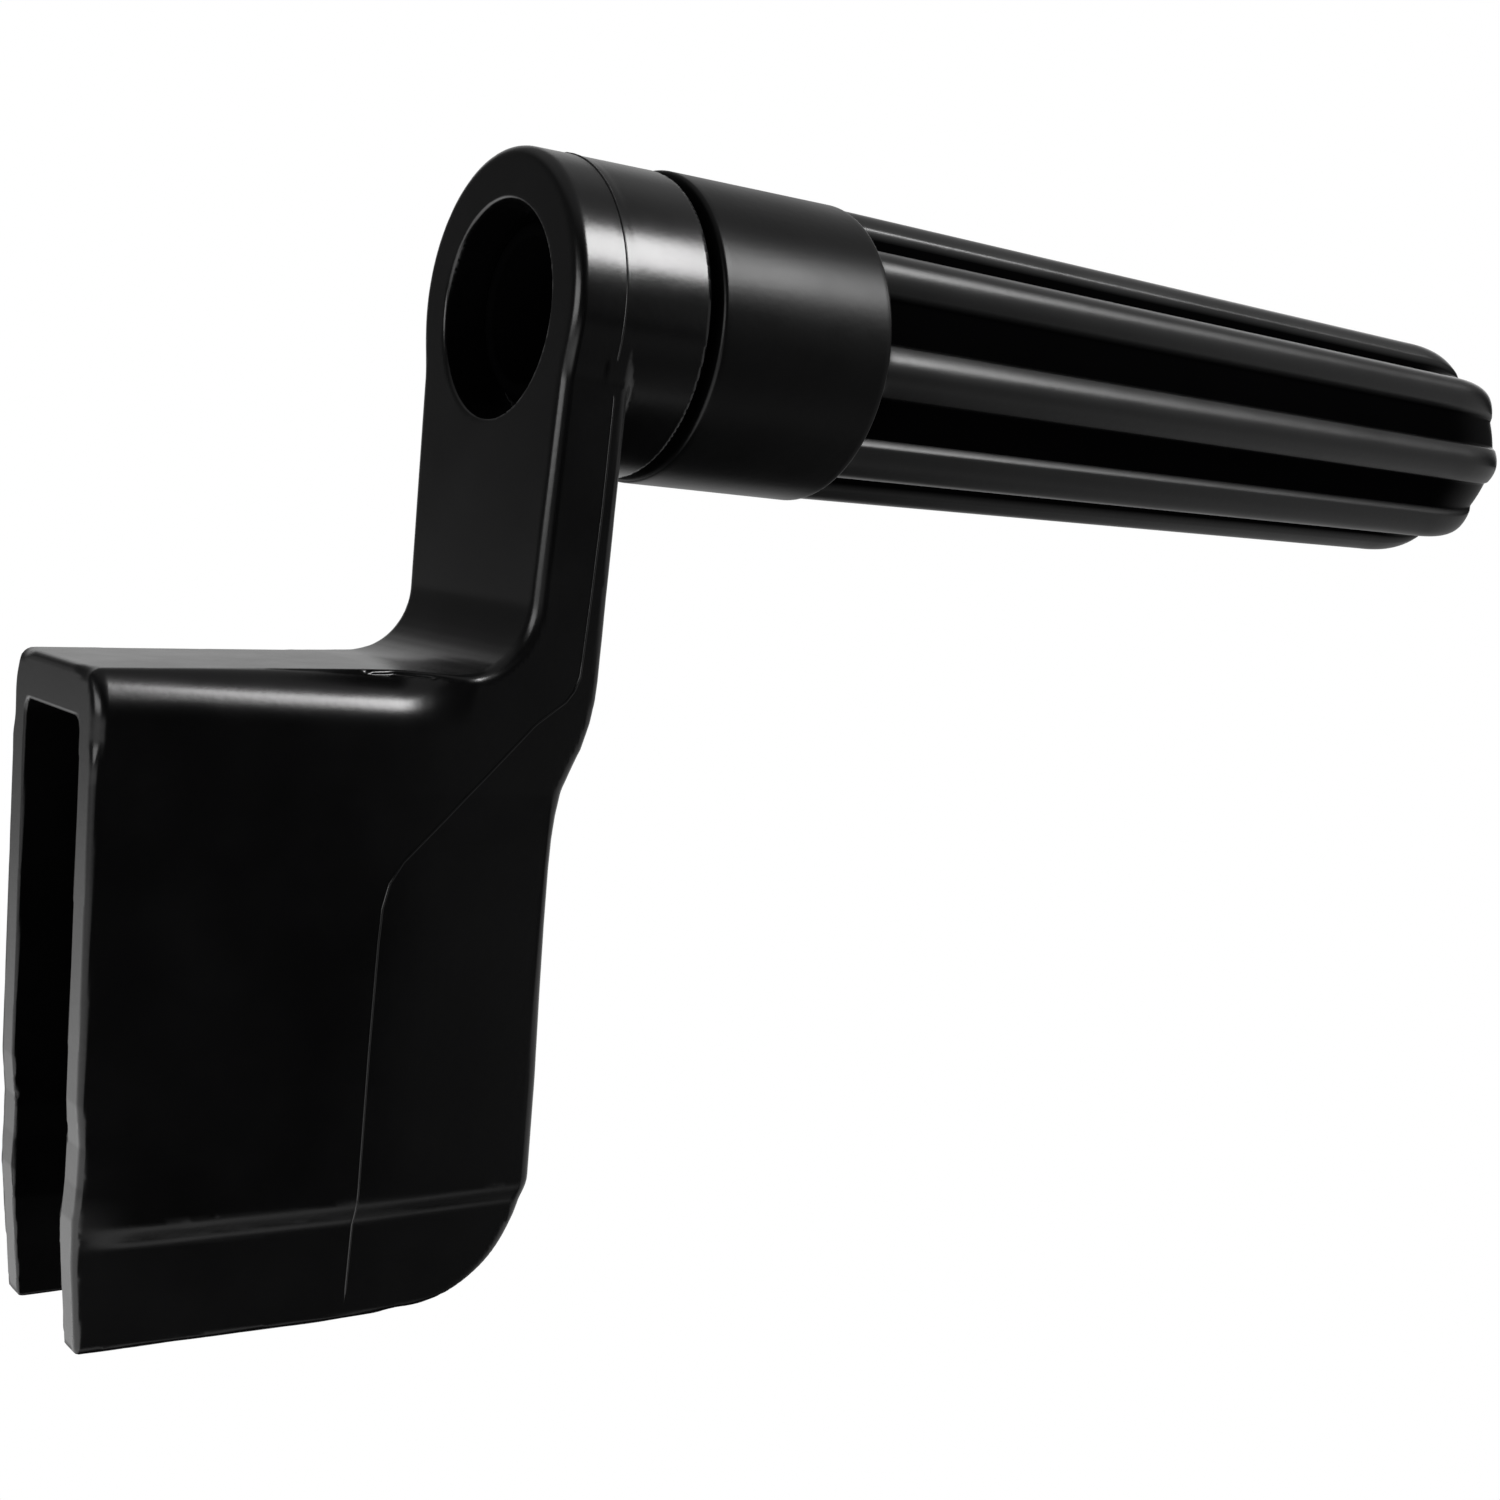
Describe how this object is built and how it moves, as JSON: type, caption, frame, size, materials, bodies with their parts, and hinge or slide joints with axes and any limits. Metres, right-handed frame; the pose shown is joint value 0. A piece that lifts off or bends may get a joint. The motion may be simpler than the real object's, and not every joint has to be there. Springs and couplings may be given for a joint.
{
  "type": "guitar string winder",
  "caption": "Black plastic string winder: a U-shaped socket on a cranked arm that slips over a tuning key, and a ribbed tapered handle that spins on the arm's boss.",
  "frame": {"origin": "centre of the handle's free end face, on the spin axis", "axes": "+X along the spin axis from the crank toward the handle's free end, so the socket mouth faces -X; +Z from the socket head up to the spin axis; +Y across the head"},
  "size_m": [0.104, 0.018, 0.0652],
  "materials": {
    "crank_plastic": "satin moulded black",
    "handle_plastic": "satin moulded black"
  },
  "bodies": {
    "crank": {"crank": "crank_plastic"},
    "handle": {"handle": "handle_plastic"}
  },
  "joints": [
    {"name": "handle_spin", "type": "hinge", "parent": "crank", "child": "handle", "pos_m": [-0.07218, 0, 0], "axis": [1, 0, 0], "continuous": true}
  ]
}
